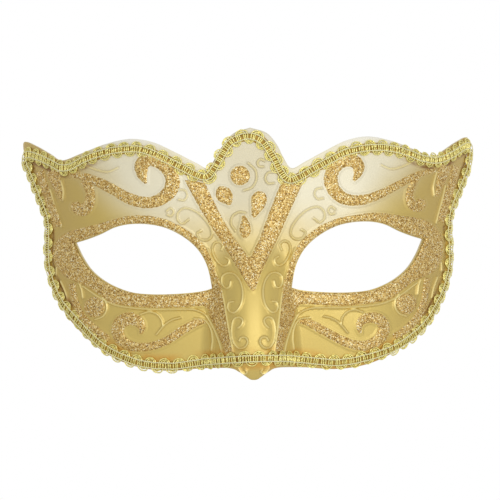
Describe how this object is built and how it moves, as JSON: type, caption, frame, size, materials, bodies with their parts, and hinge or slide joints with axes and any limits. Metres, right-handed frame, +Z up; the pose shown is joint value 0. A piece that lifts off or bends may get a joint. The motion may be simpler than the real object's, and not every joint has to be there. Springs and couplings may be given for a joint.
{
  "type": "venetian masquerade mask",
  "caption": "Rigid half mask over brow, nose and cheeks, with eye openings, embossed and glittered scrolls and gimp braid glued round its edge.",
  "frame": {"origin": "on the back of the shell at the bridge of the nose, on the middle line, where the mask rests on the wearer", "axes": "+X to the right of someone looking at the mask's front, +Y back towards the wearer, +Z up"},
  "size_m": [0.1828, 0.0811, 0.101],
  "materials": {
    "shell_lacquer": "satin lacquer, pearl white at the brow fading to gold",
    "gold_lurex": "metallised yarn, shiny greenish gold",
    "core_cord": "twisted pale cord, matt",
    "hot_melt_adhesive": "amber, smooth",
    "glitter": "coarse champagne gold flake in clear glue"
  },
  "bodies": {
    "root": {"mask_shell": "shell_lacquer", "braid_glue_bead": "hot_melt_adhesive", "braid_core_outer": "core_cord", "braid_core_inner": "core_cord", "braid_strands": "gold_lurex", "eye_rim_glitter_right": "glitter", "eye_rim_glitter_left": "glitter", "chevron_glitter": "glitter", "round_spot_glitter": "glitter", "tailed_spot_glitter": "glitter", "teardrop_spot_glitter": "glitter", "crescent_spot_glitter": "glitter", "brow_scroll_glitter_right": "glitter", "brow_scroll_glitter_left": "glitter", "temple_curl_glitter_right": "glitter", "temple_curl_glitter_left": "glitter", "temple_wedge_glitter_right": "glitter", "temple_wedge_glitter_left": "glitter", "temple_line_glitter_right": "glitter", "temple_line_glitter_left": "glitter", "cheek_scroll_glitter_right": "glitter", "cheek_scroll_glitter_left": "glitter", "cheek_spot_glitter_right": "glitter", "cheek_spot_glitter_left": "glitter", "side_branch_glitter_right": "glitter", "side_branch_glitter_left": "glitter"}
  },
  "joints": []
}
